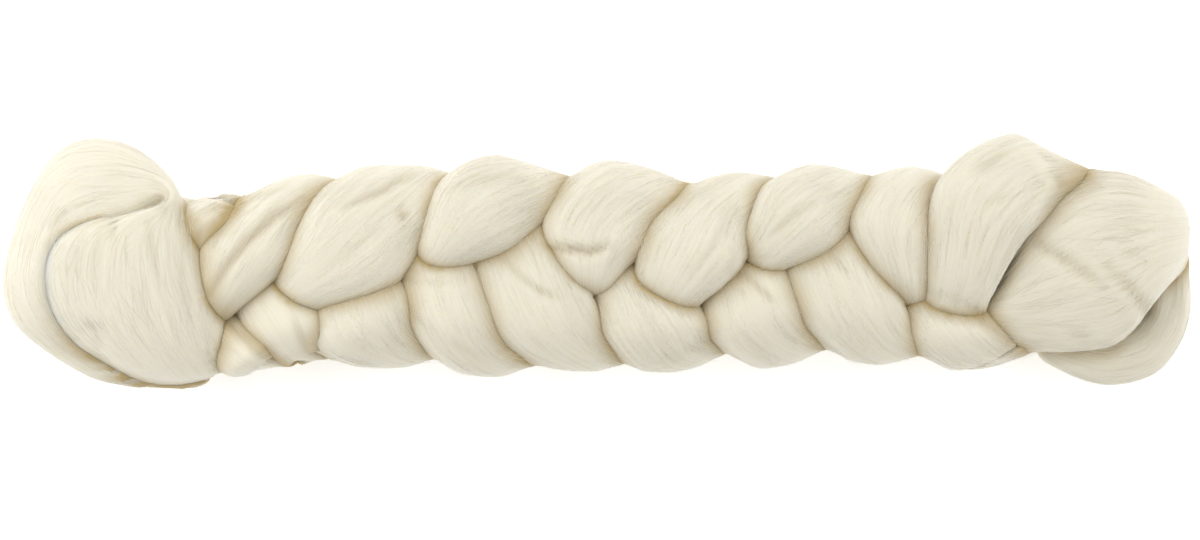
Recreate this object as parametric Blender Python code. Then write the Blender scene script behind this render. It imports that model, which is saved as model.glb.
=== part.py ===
"""Braid of wool roving: one long soft sliver, folded in three and plaited, lying flat.

The braid lies along X on the plane Z = 0, its front up. It is one solid: three runs of
sliver swept through their folds, joined into one outer form, and cut flat underneath
where the folds rest. All sizes in the tables are millimetres.
"""
from typing import NamedTuple

import bmesh
import bpy
import numpy as np

MM = 0.001

# How a fold rises out of the plait, and how it turns over the edge.
ROOT_LEVEL = 17.0
ROOT_REACH = 0.5          # share of the first span that it starts before its first cut
ROOT_NARROWING = 0.8
EDGE_LEVEL = 16.0
EDGE_HALF_WIDTH = 12.0
EDGE_HALF_THICK = 9.0
EDGE_LEAN = 0.25          # how far its way up leans along the braid there
EDGE_SETBACK = 1.0        # how far before the notch its middle lies

# The folds behind.
BEHIND_LEVEL = 8.0
BEHIND_HALF_WIDTH = 15.0
BEHIND_HALF_THICK = 9.0
BEHIND_REACH = 0.45       # how far out they lie, as a share of the edge

# Section of the sliver.
SECTION_SIDES = 32
SECTION_POWER = 2.2       # 2 is an ellipse, more is fuller at the corners
STATION_STEP = 2.5        # distance between sections along a run
CURVE_TENSION = 0.6       # how the curve's pace follows the distance between rows

# The joined skin.
SKIN_VOXEL = 1.6
SKIN_KEEP = 0.08          # share of the skin's faces that is kept
CUTTER_LENGTH = 480.0
CUTTER_WIDTH = 160.0
CUTTER_DEPTH = 20.0

WOOL_COLOUR = (0.84, 0.79, 0.66, 1.0)
WOOL_ROUGHNESS = 0.95

# The way a section's flat side looks.
FACING = {
    "front": (0.0, 0.0, 1.0),
    "back": (0.0, 0.0, -1.0),
    "lower_edge": (0.0, -1.0, 0.0),
    "right": (1.0, 0.0, 0.0),
}


class Fold(NamedTuple):
    """One fold on the front of the plait, given by three cuts across it.

    Each cut is x, y of its outer border, then x, y of its inner border.
    """

    side: int              # +1 rolls over the upper edge, -1 over the lower edge
    low: tuple             # the first cut
    belly: tuple           # the cut where the fold is fullest
    shoulder: tuple        # the cut just before it turns over the edge
    notch: tuple           # x, y on the outline where the next fold starts
    lift: float            # what is added to the fold's usual height


class Level(NamedTuple):
    """Heights of the outer and inner borders of a fold's cut, and half its thickness."""

    outer: float
    inner: float
    half_thick: float


class Cut(NamedTuple):
    """One section of an end loop in sight, given by the two borders of its width."""

    x1: float
    y1: float
    x2: float
    y2: float
    z1: float
    z2: float
    half_thick: float


class Station(NamedTuple):
    """One section of the sliver out of sight, given by its middle."""

    x: float
    y: float
    z: float
    half_width: float
    half_thick: float
    facing: str


# The middle of the finished braid, in the frame of the tables.
CENTRE = (-0.9, 0.5)

# Usual heights of a fold's cuts, by the side that it rolls over.
LEVELS = {
    +1: {
        "low": Level(30.0, 30.0, 8.5),
        "belly": Level(28.0, 33.0, 10.0),
        "shoulder": Level(20.0, 26.0, 9.5),
    },
    -1: {
        "low": Level(24.0, 24.0, 8.5),
        "belly": Level(28.0, 30.0, 10.0),
        "shoulder": Level(20.0, 25.0, 9.5),
    },
}

# How much of a fold's lift each cut takes.
LIFT_SHARE = {"low": 1.0, "belly": 1.0, "shoulder": 0.5}

FOLDS = {
    # outer x, y, inner x, y of the low cut, the belly and the shoulder, then the notch and the lift
    "upper_0": Fold(+1, (-133.5, 7.0, -123.5, 2.0), (-134.5, 16.0, -115.5, 9.5),
                    (-124.5, 20.0, -109.0, 13.5), (-113.5, 19.0), -3.5),
    "upper_1": Fold(+1, (-126.0, -7.5, -115.0, -14.5), (-126.0, 7.0, -100.0, -1.5),
                    (-108.0, 23.0, -88.5, 16.0), (-85.0, 27.0), 0.0),
    "upper_2": Fold(+1, (-99.5, 1.5, -88.5, -14.5), (-89.5, 20.5, -66.5, -7.5),
                    (-73.0, 31.0, -53.0, 8.5), (-49.5, 29.5), 1.0),
    "upper_3": Fold(+1, (-56.0, 8.0, -46.0, -1.5), (-48.5, 27.5, -29.5, 4.0),
                    (-29.5, 33.5, -14.0, 14.0), (-10.5, 26.5), 0.0),
    "upper_4": Fold(+1, (-11.5, -2.0, 3.5, -6.5), (-18.0, 12.0, 12.0, 2.5),
                    (1.5, 32.5, 21.5, 12.5), (28.0, 24.0), 0.0),
    "upper_5": Fold(+1, (11.5, -2.5, 30.0, -14.0), (13.5, 8.5, 44.0, -2.0),
                    (29.0, 24.0, 50.5, 13.5), (55.0, 27.0), 1.5),
    "upper_6": Fold(+1, (46.0, 9.0, 56.5, -2.5), (52.5, 24.0, 72.5, 4.0),
                    (69.5, 31.0, 83.5, 14.0), (85.5, 27.0), 0.0),
    "upper_7": Fold(+1, (85.5, -2.0, 103.5, -9.5), (79.0, 14.5, 105.5, 6.0),
                    (91.0, 28.5, 110.0, 18.5), (110.5, 28.0), -0.5),
    "upper_8": Fold(+1, (103.5, -2.0, 122.5, -12.5), (108.5, 28.0, 135.0, 9.5),
                    (135.0, 40.5, 150.0, 19.5), (153.5, 27.0), 4.0),
    "lower_0": Fold(-1, (-124.0, -29.0, -114.5, -17.5), (-117.0, -36.5, -105.0, -24.0),
                    (-109.5, -34.5, -99.0, -26.0), (-101.5, -32.0), -2.5),
    "lower_1": Fold(-1, (-115.5, -16.5, -99.0, -4.0), (-107.5, -27.0, -88.5, -16.0),
                    (-98.0, -32.0, -86.5, -24.0), (-89.0, -29.0), -1.0),
    "lower_2": Fold(-1, (-93.0, -12.0, -66.5, -2.0), (-89.0, -27.5, -60.5, -10.5),
                    (-74.5, -33.5, -55.5, -22.5), (-55.0, -31.0), 0.0),
    "lower_3": Fold(-1, (-65.0, -2.5, -42.5, 4.0), (-58.0, -24.0, -35.0, -13.5),
                    (-42.5, -36.0, -25.5, -27.0), (-22.0, -32.0), 0.0),
    "lower_4": Fold(-1, (-41.5, -0.5, -14.0, 12.0), (-31.0, -25.5, -2.0, -12.5),
                    (-12.0, -34.5, 5.0, -24.0), (6.5, -32.0), 0.0),
    "lower_5": Fold(-1, (-2.0, -9.5, 16.5, 0.0), (2.5, -25.5, 33.5, -18.0),
                    (14.5, -35.0, 37.0, -24.5), (38.5, -28.5), 0.0),
    "lower_6": Fold(-1, (32.0, -11.0, 56.0, 4.0), (35.5, -24.0, 62.5, -12.0),
                    (53.0, -34.0, 69.5, -20.5), (71.0, -27.5), 0.0),
    "lower_7": Fold(-1, (57.5, -2.0, 82.5, 11.0), (66.0, -21.5, 95.0, -11.5),
                    (84.0, -32.5, 101.5, -22.5), (101.0, -29.0), 0.5),
    "lower_8": Fold(-1, (94.5, -14.5, 114.5, -7.0), (100.5, -27.0, 126.0, -18.0),
                    (114.0, -34.5, 134.5, -25.0), (137.5, -28.0), -2.0),
}

# The first run starts behind, and turns up over the lower edge.
LEFT_START = (
    #       x       y      z     width  thick  facing
    Station(-126.0, -20.0, 11.0, 12.0, 8.0, "back"),
    Station(-131.0, -30.0, 17.0, 16.0, 8.5, "lower_edge"),
)

# Up the front panel, through the pinch, over the hump and round the left end.
LEFT_LOOP = (
    #   x1      y1      x2      y2     z1    z2    half thick
    Cut(-118.5, -30.0, -161.0, -29.5, 26.0, 22.0, 9.0),
    Cut(-120.5, -17.5, -172.5, -16.5, 31.0, 26.0, 9.5),
    Cut(-125.0, -3.0, -175.0, -0.5, 33.0, 28.0, 10.0),
    Cut(-128.5, 8.5, -167.5, 10.0, 33.0, 30.0, 9.5),
    Cut(-132.0, 17.0, -147.0, 15.5, 31.0, 31.0, 8.0),
    Cut(-133.0, 20.5, -137.5, 18.0, 29.0, 30.0, 8.0),
    Cut(-138.0, 25.5, -142.5, 16.0, 22.0, 30.0, 9.0),
    Cut(-145.0, 33.5, -149.0, 11.5, 19.0, 29.0, 11.0),
    Cut(-158.0, 39.0, -157.5, 8.5, 17.0, 28.0, 12.0),
    Cut(-173.0, 35.5, -163.5, 5.0, 15.0, 27.0, 12.5),
    Cut(-181.5, 22.5, -165.5, 1.5, 14.0, 26.0, 12.0),
    Cut(-187.5, 6.0, -164.5, -2.0, 13.0, 25.0, 12.0),
    Cut(-191.0, -7.5, -164.0, -7.0, 12.0, 24.0, 12.0),
    Cut(-187.0, -20.5, -162.5, -14.5, 12.0, 21.0, 11.5),
    Cut(-173.5, -30.5, -158.5, -20.5, 11.0, 17.0, 11.0),
    Cut(-160.0, -38.0, -152.0, -26.0, 10.0, 14.0, 10.5),
    Cut(-142.5, -38.0, -140.0, -27.5, 9.0, 13.0, 9.0),
    Cut(-127.0, -38.0, -126.5, -29.0, 9.0, 12.5, 8.5),
)

# The upper run passes behind, and turns over the right end.
RIGHT_TURN = (
    #       x       y      z     width  thick  facing
    Station(146.0, 10.0, 8.5, 17.0, 9.5, "back"),
    Station(165.0, 9.0, 9.5, 15.0, 9.5, "back"),
    Station(180.5, 9.0, 20.0, 12.5, 9.5, "right"),
)

# It comes back over the front as its broad end, whose tip is tucked in.
BROAD_END = (
    #   x1      y1      x2      y2     z1    z2    half thick
    Cut(177.5, -11.0, 178.5, 23.5, 28.0, 26.0, 10.0),
    Cut(165.5, -25.5, 164.5, 29.0, 27.0, 25.0, 11.0),
    Cut(151.0, -28.5, 151.0, 26.5, 27.0, 27.0, 11.0),
    Cut(135.5, -27.5, 138.0, 15.0, 26.0, 28.0, 10.0),
    Cut(124.5, -21.0, 130.0, -1.0, 25.0, 27.0, 9.0),
    Cut(119.0, -18.0, 125.0, -9.0, 19.0, 20.0, 7.0),
)

# The middle run comes out under the broad end, curls round and tucks in again.
RIGHT_CURL = (
    #   x1      y1      x2      y2     z1    z2    half thick
    Cut(138.5, -19.5, 140.5, -29.0, 12.0, 9.0, 8.5),
    Cut(150.0, -22.0, 149.5, -34.5, 13.0, 9.0, 9.5),
    Cut(162.5, -23.5, 163.5, -39.0, 14.0, 9.0, 10.0),
    Cut(171.5, -20.5, 179.0, -35.0, 14.0, 9.5, 10.5),
    Cut(175.5, -12.0, 187.5, -22.5, 15.0, 10.0, 10.5),
    Cut(177.0, -4.0, 189.0, -9.0, 15.0, 11.0, 10.0),
    Cut(176.5, 2.5, 187.0, 1.5, 15.0, 12.0, 9.0),
)

# The last run's end, tucked in behind the plait.
TUCKED_END = (
    #       x       y      z     width  thick  facing
    Station(120.0, 13.0, 12.0, 14.0, 8.0, "back"),
    Station(141.0, 2.5, 12.0, 12.0, 7.0, "back"),
)

# The wool packed inside the plait and its two ends.
CORE = (
    #       x       y      z     width  thick  facing
    Station(-170.0, -1.0, 9.5, 12.0, 10.0, "front"),
    Station(-155.0, -1.0, 12.0, 24.0, 13.0, "front"),
    Station(-130.0, -2.0, 12.5, 22.0, 13.5, "front"),
    Station(-100.0, 0.0, 19.5, 19.0, 10.0, "front"),
    Station(-60.0, 0.0, 20.5, 20.0, 9.0, "front"),
    Station(60.0, 0.0, 20.5, 20.0, 9.0, "front"),
    Station(130.0, 0.0, 17.0, 20.0, 11.0, "front"),
    Station(155.0, -5.0, 12.0, 22.0, 13.0, "front"),
    Station(172.0, -6.0, 10.5, 14.0, 11.0, "front"),
)

RUN_A = ("lower_1", "upper_2", "lower_4", "upper_5", "lower_7", "upper_8")
RUN_B = ("upper_0", "lower_2", "upper_3", "lower_5", "upper_6", "lower_8")
RUN_C = ("lower_0", "upper_1", "lower_3", "upper_4", "lower_6", "upper_7")


def clear_scene():
    """Remove what the startup file holds."""
    for item in list(bpy.data.objects):
        bpy.data.objects.remove(item, do_unlink=True)


def unit(vectors):
    """Vectors along the last axis, brought to length one."""
    return vectors / np.linalg.norm(vectors, axis=-1, keepdims=True)


def upright(direction, along):
    """The part of a direction that is square to another, brought to length one."""
    return unit(direction - np.sum(direction * along, axis=-1, keepdims=True) * along)


def cut_row(first, second, half_thick, sign):
    """Row for a section between two borders: middle, half sizes, way up and way across."""
    first = np.array(first)
    second = np.array(second)
    across = unit(second - first)
    up = sign * upright(np.array(FACING["front"]), across)
    half_width = np.linalg.norm(second - first) / 2
    return np.concatenate([(first + second) / 2, [half_width, half_thick], up, across])


def plain_row(x, y, z, half_width, half_thick, up):
    """Row for a section whose way across follows from the way ahead."""
    unknown = (np.nan, np.nan, np.nan)
    return np.array([x, y, z, half_width, half_thick, *up, *unknown])


def loop_rows(cuts, sign=1.0):
    """Rows for the sections of an end loop in sight."""
    return [
        cut_row((c.x1, c.y1, c.z1), (c.x2, c.y2, c.z2), c.half_thick, sign)
        for c in cuts
    ]


def hidden_rows(stations, sign=1.0):
    """Rows for the sections of a stretch out of sight."""
    return [
        plain_row(s.x, s.y, s.z, s.half_width, s.half_thick, [sign * v for v in FACING[s.facing]])
        for s in stations
    ]


def fold_rows(fold):
    """Rows for one front fold, from its root to where it turns over the edge."""
    rows = []
    for name, level in LEVELS[fold.side].items():
        x1, y1, x2, y2 = getattr(fold, name)
        lift = fold.lift * LIFT_SHARE[name]
        first = (x1, y1, level.outer + lift)
        second = (x2, y2, level.inner + lift)
        rows.append(cut_row(first, second, level.half_thick, fold.side))
    root = rows[0].copy()
    root[:3] += (rows[0][:3] - rows[1][:3]) * ROOT_REACH
    root[2] = ROOT_LEVEL
    root[3] *= ROOT_NARROWING
    x = fold.notch[0] - EDGE_SETBACK
    y = fold.notch[1] - fold.side * EDGE_HALF_THICK
    up = (EDGE_LEAN * fold.side, 1.0, 0.0)
    edge = plain_row(x, y, EDGE_LEVEL, EDGE_HALF_WIDTH, EDGE_HALF_THICK, up)
    return [root, *rows, edge]


def plait_rows(names):
    """Rows for one run through the plait: up, over the edge, behind, and up again."""
    rows = []
    before = None
    for name in names:
        fold = FOLDS[name]
        front = fold_rows(fold)
        if before is not None:
            x = (rows[-1][0] + front[0][0]) / 2
            y = rows[-1][1] * BEHIND_REACH
            up = (0.0, 0.0, -before.side)
            rows.append(plain_row(x, y, BEHIND_LEVEL, BEHIND_HALF_WIDTH, BEHIND_HALF_THICK, up))
        rows += front
        before = fold
    return rows


def smooth_run(rows):
    """Sections at an even step along a smooth curve through the rows."""
    rows = np.array(rows, float)
    ahead = unit(np.gradient(rows[:, :3], axis=0))
    across = unit(np.cross(ahead, rows[:, 5:8]))
    unknown = np.isnan(rows[:, 8])
    rows[unknown, 8:] = across[unknown]
    spans = np.linalg.norm(np.diff(rows[:, :3], axis=0), axis=1)
    gaps = (np.maximum(spans, 1.0) ** CURVE_TENSION)[:, None]
    rates = np.diff(rows, axis=0) / gaps
    inner = (rates[1:] * gaps[:-1] + rates[:-1] * gaps[1:]) / (gaps[:-1] + gaps[1:])
    slopes = np.vstack([rates[:1], inner, rates[-1:]])
    pieces = []
    for i, span in enumerate(spans):
        count = max(2, round(span / STATION_STEP))
        last = i == len(spans) - 1
        u = np.linspace(0.0, 1.0, count + last, endpoint=last)[:, None]
        start = (2 * u**3 - 3 * u**2 + 1) * rows[i] + (u**3 - 2 * u**2 + u) * gaps[i] * slopes[i]
        end = (3 * u**2 - 2 * u**3) * rows[i + 1] + (u**3 - u**2) * gaps[i] * slopes[i + 1]
        pieces.append(start + end)
    return np.vstack(pieces)


def section_rings(sections):
    """Points of each section's ring, as an array of sections by sides by xyz."""
    up = unit(sections[:, 5:8])
    across = upright(sections[:, 8:], up)
    turn = np.linspace(0.0, 2 * np.pi, SECTION_SIDES, endpoint=False)
    u = np.sign(np.cos(turn)) * np.abs(np.cos(turn)) ** (2 / SECTION_POWER)
    v = np.sign(np.sin(turn)) * np.abs(np.sin(turn)) ** (2 / SECTION_POWER)
    wide = sections[:, 3:4] * u
    thick = sections[:, 4:5] * v
    middle = sections[:, None, :3]
    return middle + across[:, None] * wide[..., None] + up[:, None] * thick[..., None]


def add_tube(mesh, rings):
    """Skin one run: quads between its rings, and one face over each end."""
    loops = [[mesh.verts.new(point * MM) for point in ring] for ring in rings]
    for ring, after in zip(loops[:-1], loops[1:]):
        for i in range(SECTION_SIDES):
            j = (i + 1) % SECTION_SIDES
            mesh.faces.new((ring[i], ring[j], after[j], after[i]))
    mesh.faces.new(list(reversed(loops[0])))
    mesh.faces.new(loops[-1])


def wool_material():
    """Plain matt cream wool."""
    material = bpy.data.materials.new("wool")
    material.use_nodes = True
    shader = material.node_tree.nodes["Principled BSDF"]
    shader.inputs["Base Color"].default_value = WOOL_COLOUR
    shader.inputs["Roughness"].default_value = WOOL_ROUGHNESS
    shader.inputs["Metallic"].default_value = 0.0
    return material


def runs_mesh():
    """The three runs of sliver and the wool inside them, as overlapping closed tubes."""
    runs = (
        plait_rows(RUN_A) + hidden_rows(RIGHT_TURN) + loop_rows(BROAD_END),
        plait_rows(RUN_B) + loop_rows(RIGHT_CURL),
        hidden_rows(LEFT_START, -1.0) + loop_rows(LEFT_LOOP, -1.0)
        + plait_rows(RUN_C) + hidden_rows(TUCKED_END),
        hidden_rows(CORE),
    )
    shape = bmesh.new()
    for rows in runs:
        rings = section_rings(smooth_run(rows))
        rings[..., :2] -= CENTRE
        add_tube(shape, rings)
    bmesh.ops.recalc_face_normals(shape, faces=shape.faces)
    mesh = bpy.data.meshes.new("braid")
    shape.to_mesh(mesh)
    shape.free()
    return mesh


def rest_cutter():
    """A slab under the surface, whose top takes the rounded undersides off flat."""
    bpy.ops.mesh.primitive_cube_add(size=1.0)
    slab = bpy.context.object
    slab.name = "rest_cutter"
    for vertex in slab.data.vertices:
        vertex.co.x *= CUTTER_LENGTH * MM
        vertex.co.y *= CUTTER_WIDTH * MM
        vertex.co.z = (vertex.co.z - 0.5) * CUTTER_DEPTH * MM
    slab.hide_render = True
    slab.display_type = "WIRE"
    return slab


def build_braid():
    """The braid: its runs joined into one skin, thinned out, and cut flat where it rests."""
    braid = bpy.data.objects.new("braid", runs_mesh())
    bpy.context.collection.objects.link(braid)
    braid.data.materials.append(wool_material())
    skin = braid.modifiers.new("join_runs", "REMESH")
    skin.mode = "VOXEL"
    skin.voxel_size = SKIN_VOXEL * MM
    thin = braid.modifiers.new("thin_out", "DECIMATE")
    thin.ratio = SKIN_KEEP
    cut = braid.modifiers.new("rest_flat", "BOOLEAN")
    cut.operation = "DIFFERENCE"
    cut.object = rest_cutter()
    braid.data.shade_smooth()


clear_scene()
build_braid()
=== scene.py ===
import logging
from dataclasses import dataclass, field
from enum import Enum
from typing import NamedTuple

import bpy
import numpy as np
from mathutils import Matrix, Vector


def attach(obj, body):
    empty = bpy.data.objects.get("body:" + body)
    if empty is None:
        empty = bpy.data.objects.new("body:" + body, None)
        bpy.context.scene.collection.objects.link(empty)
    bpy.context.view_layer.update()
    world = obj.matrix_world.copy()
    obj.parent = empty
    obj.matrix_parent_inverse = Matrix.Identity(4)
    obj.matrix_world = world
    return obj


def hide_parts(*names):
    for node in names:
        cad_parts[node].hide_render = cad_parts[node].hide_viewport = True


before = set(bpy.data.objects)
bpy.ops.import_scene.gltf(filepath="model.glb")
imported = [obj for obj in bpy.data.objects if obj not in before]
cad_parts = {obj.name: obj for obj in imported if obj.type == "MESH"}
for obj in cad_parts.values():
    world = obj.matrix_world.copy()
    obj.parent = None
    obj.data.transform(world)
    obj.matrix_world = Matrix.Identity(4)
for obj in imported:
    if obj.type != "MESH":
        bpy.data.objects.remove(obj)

# The looks of a braid of wool roving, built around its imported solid.
#
# Lengths are millimetres unless metres are named, with X along the braid, Y across it, and Z up
# from the surface that it rests on. Meshes are made in metres.

LOG = logging.getLogger("braid")
MM = 0.001
BODY = "root"
NODE = "braid"
Array = np.ndarray
Pair = tuple[float, float]
Triple = tuple[float, float, float]
Four = tuple[float, float, float, float]


class Facing(Enum):
    """The way a section's flat side looks."""

    FRONT = (0.0, 0.0, 1.0)
    BACK = (0.0, 0.0, -1.0)
    LOWER_EDGE = (0.0, -1.0, 0.0)
    RIGHT = (1.0, 0.0, 0.0)


class Fold(NamedTuple):
    """One fold on the front of the plait, given by three cuts across it.

    Attributes:
        side: +1 rolls over the upper edge, -1 over the lower edge.
        low: the first cut: x, y of its outer border, then x, y of its inner border.
        belly: the cut where the fold is fullest, in the same way.
        shoulder: the cut just before it turns over the edge, in the same way.
        notch: x, y on the outline where the next fold starts.
        lift: what is added to the fold's usual height.
    """

    side: int
    low: Four
    belly: Four
    shoulder: Four
    notch: Pair
    lift: float


class Level(NamedTuple):
    """Heights of the outer and inner borders of a fold's cut, and half its thickness."""

    outer: float
    inner: float
    half_thick: float


class Cut(NamedTuple):
    """One section of an end loop in sight, given by the first and second borders of its width."""

    x1: float
    y1: float
    x2: float
    y2: float
    z1: float
    z2: float
    half_thick: float


class Station(NamedTuple):
    """One section of the sliver out of sight, given by its middle."""

    x: float
    y: float
    z: float
    half_width: float
    half_thick: float
    facing: Facing


class Crease(NamedTuple):
    """A soft trough in the front, or a ridge where its depth is below zero.

    Attributes:
        path: x, y of the points that it passes.
        half_width: distance over which it fades away.
        depth: at its middle.
        painted_shade: how much painted shade, in warm tan, it adds, or takes away where it is below zero.
    """

    path: tuple[Pair, ...]
    half_width: float
    depth: float
    painted_shade: float


# The middle of the finished braid, in the frame of the tables.
CENTRE = (-0.9, 0.5)

# Usual heights of a fold's cuts, by the side that it rolls over.
LEVELS = {
    +1: {
        "low": Level(30.0, 30.0, 8.5),
        "belly": Level(28.0, 33.0, 10.0),
        "shoulder": Level(20.0, 26.0, 9.5),
    },
    -1: {
        "low": Level(24.0, 24.0, 8.5),
        "belly": Level(28.0, 30.0, 10.0),
        "shoulder": Level(20.0, 25.0, 9.5),
    },
}

# How much of a fold's lift each cut takes.
LIFT_SHARE = {"low": 1.0, "belly": 1.0, "shoulder": 0.5}

FOLDS = {
    # outer x, y, inner x, y of the low cut, the belly and the shoulder, then the notch and the lift
    "upper_0": Fold(+1, (-133.5, 7.0, -123.5, 2.0), (-134.5, 16.0, -115.5, 9.5),
                    (-124.5, 20.0, -109.0, 13.5), (-113.5, 19.0), -3.5),
    "upper_1": Fold(+1, (-126.0, -7.5, -115.0, -14.5), (-126.0, 7.0, -100.0, -1.5),
                    (-108.0, 23.0, -88.5, 16.0), (-85.0, 27.0), 0.0),
    "upper_2": Fold(+1, (-99.5, 1.5, -88.5, -14.5), (-89.5, 20.5, -66.5, -7.5),
                    (-73.0, 31.0, -53.0, 8.5), (-49.5, 29.5), 1.0),
    "upper_3": Fold(+1, (-56.0, 8.0, -46.0, -1.5), (-48.5, 27.5, -29.5, 4.0),
                    (-29.5, 33.5, -14.0, 14.0), (-10.5, 26.5), 0.0),
    "upper_4": Fold(+1, (-11.5, -2.0, 3.5, -6.5), (-18.0, 12.0, 12.0, 2.5),
                    (1.5, 32.5, 21.5, 12.5), (28.0, 24.0), 0.0),
    "upper_5": Fold(+1, (11.5, -2.5, 30.0, -14.0), (13.5, 8.5, 44.0, -2.0),
                    (29.0, 24.0, 50.5, 13.5), (55.0, 27.0), 1.5),
    "upper_6": Fold(+1, (46.0, 9.0, 56.5, -2.5), (52.5, 24.0, 72.5, 4.0),
                    (69.5, 31.0, 83.5, 14.0), (85.5, 27.0), 0.0),
    "upper_7": Fold(+1, (85.5, -2.0, 103.5, -9.5), (79.0, 14.5, 105.5, 6.0),
                    (91.0, 28.5, 110.0, 18.5), (110.5, 28.0), -0.5),
    "upper_8": Fold(+1, (103.5, -2.0, 122.5, -12.5), (108.5, 28.0, 135.0, 9.5),
                    (135.0, 40.5, 150.0, 19.5), (153.5, 27.0), 4.0),
    "lower_0": Fold(-1, (-124.0, -29.0, -114.5, -17.5), (-117.0, -36.5, -105.0, -24.0),
                    (-109.5, -34.5, -99.0, -26.0), (-101.5, -32.0), -2.5),
    "lower_1": Fold(-1, (-115.5, -16.5, -99.0, -4.0), (-107.5, -27.0, -88.5, -16.0),
                    (-98.0, -32.0, -86.5, -24.0), (-89.0, -29.0), -1.0),
    "lower_2": Fold(-1, (-93.0, -12.0, -66.5, -2.0), (-89.0, -27.5, -60.5, -10.5),
                    (-74.5, -33.5, -55.5, -22.5), (-55.0, -31.0), 0.0),
    "lower_3": Fold(-1, (-65.0, -2.5, -42.5, 4.0), (-58.0, -24.0, -35.0, -13.5),
                    (-42.5, -36.0, -25.5, -27.0), (-22.0, -32.0), 0.0),
    "lower_4": Fold(-1, (-41.5, -0.5, -14.0, 12.0), (-31.0, -25.5, -2.0, -12.5),
                    (-12.0, -34.5, 5.0, -24.0), (6.5, -32.0), 0.0),
    "lower_5": Fold(-1, (-2.0, -9.5, 16.5, 0.0), (2.5, -25.5, 33.5, -18.0),
                    (14.5, -35.0, 37.0, -24.5), (38.5, -28.5), 0.0),
    "lower_6": Fold(-1, (32.0, -11.0, 56.0, 4.0), (35.5, -24.0, 62.5, -12.0),
                    (53.0, -34.0, 69.5, -20.5), (71.0, -27.5), 0.0),
    "lower_7": Fold(-1, (57.5, -2.0, 82.5, 11.0), (66.0, -21.5, 95.0, -11.5),
                    (84.0, -32.5, 101.5, -22.5), (101.0, -29.0), 0.5),
    "lower_8": Fold(-1, (94.5, -14.5, 114.5, -7.0), (100.5, -27.0, 126.0, -18.0),
                    (114.0, -34.5, 134.5, -25.0), (137.5, -28.0), -2.0),
}

# The first run starts behind, and turns up over the lower edge.
LEFT_START = (
    #       x       y      z     width  thick  facing
    Station(-126.0, -20.0, 11.0, 12.0, 8.0, Facing.BACK),
    Station(-131.0, -30.0, 17.0, 16.0, 8.5, Facing.LOWER_EDGE),
)

# Up the front panel, through the pinch, over the hump and round the left end.
LEFT_LOOP = (
    #   x1      y1      x2      y2     z1    z2    half thick
    Cut(-118.5, -30.0, -161.0, -29.5, 26.0, 22.0, 9.0),
    Cut(-120.5, -17.5, -172.5, -16.5, 31.0, 26.0, 9.5),
    Cut(-125.0, -3.0, -175.0, -0.5, 33.0, 28.0, 10.0),
    Cut(-128.5, 8.5, -167.5, 10.0, 33.0, 30.0, 9.5),
    Cut(-132.0, 17.0, -147.0, 15.5, 31.0, 31.0, 8.0),
    Cut(-133.0, 20.5, -137.5, 18.0, 29.0, 30.0, 8.0),
    Cut(-138.0, 25.5, -142.5, 16.0, 22.0, 30.0, 9.0),
    Cut(-145.0, 33.5, -149.0, 11.5, 19.0, 29.0, 11.0),
    Cut(-158.0, 39.0, -157.5, 8.5, 17.0, 28.0, 12.0),
    Cut(-173.0, 35.5, -163.5, 5.0, 15.0, 27.0, 12.5),
    Cut(-181.5, 22.5, -165.5, 1.5, 14.0, 26.0, 12.0),
    Cut(-187.5, 6.0, -164.5, -2.0, 13.0, 25.0, 12.0),
    Cut(-191.0, -7.5, -164.0, -7.0, 12.0, 24.0, 12.0),
    Cut(-187.0, -20.5, -162.5, -14.5, 12.0, 21.0, 11.5),
    Cut(-173.5, -30.5, -158.5, -20.5, 11.0, 17.0, 11.0),
    Cut(-160.0, -38.0, -152.0, -26.0, 10.0, 14.0, 10.5),
    Cut(-142.5, -38.0, -140.0, -27.5, 9.0, 13.0, 9.0),
    Cut(-127.0, -38.0, -126.5, -29.0, 9.0, 12.5, 8.5),
)

# The upper run passes behind, and turns over the right end.
RIGHT_TURN = (
    #       x       y      z     width  thick  facing
    Station(146.0, 10.0, 8.5, 17.0, 9.5, Facing.BACK),
    Station(165.0, 9.0, 9.5, 15.0, 9.5, Facing.BACK),
    Station(180.5, 9.0, 20.0, 12.5, 9.5, Facing.RIGHT),
)

# It comes back over the front as its broad end, whose tip is tucked in.
BROAD_END = (
    #   x1      y1      x2      y2     z1    z2    half thick
    Cut(177.5, -11.0, 178.5, 23.5, 28.0, 26.0, 10.0),
    Cut(165.5, -25.5, 164.5, 29.0, 27.0, 25.0, 11.0),
    Cut(151.0, -28.5, 151.0, 26.5, 27.0, 27.0, 11.0),
    Cut(135.5, -27.5, 138.0, 15.0, 26.0, 28.0, 10.0),
    Cut(124.5, -21.0, 130.0, -1.0, 25.0, 27.0, 9.0),
    Cut(119.0, -18.0, 125.0, -9.0, 19.0, 20.0, 7.0),
)

# The middle run comes out under the broad end, curls round and tucks in again.
RIGHT_CURL = (
    #   x1      y1      x2      y2     z1    z2    half thick
    Cut(138.5, -19.5, 140.5, -29.0, 12.0, 9.0, 8.5),
    Cut(150.0, -22.0, 149.5, -34.5, 13.0, 9.0, 9.5),
    Cut(162.5, -23.5, 163.5, -39.0, 14.0, 9.0, 10.0),
    Cut(171.5, -20.5, 179.0, -35.0, 14.0, 9.5, 10.5),
    Cut(175.5, -12.0, 187.5, -22.5, 15.0, 10.0, 10.5),
    Cut(177.0, -4.0, 189.0, -9.0, 15.0, 11.0, 10.0),
    Cut(176.5, 2.5, 187.0, 1.5, 15.0, 12.0, 9.0),
)

# The last run's end, tucked in behind the plait.
TUCKED_END = (
    #       x       y      z     width  thick  facing
    Station(120.0, 13.0, 12.0, 14.0, 8.0, Facing.BACK),
    Station(141.0, 2.5, 12.0, 12.0, 7.0, Facing.BACK),
)

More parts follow.
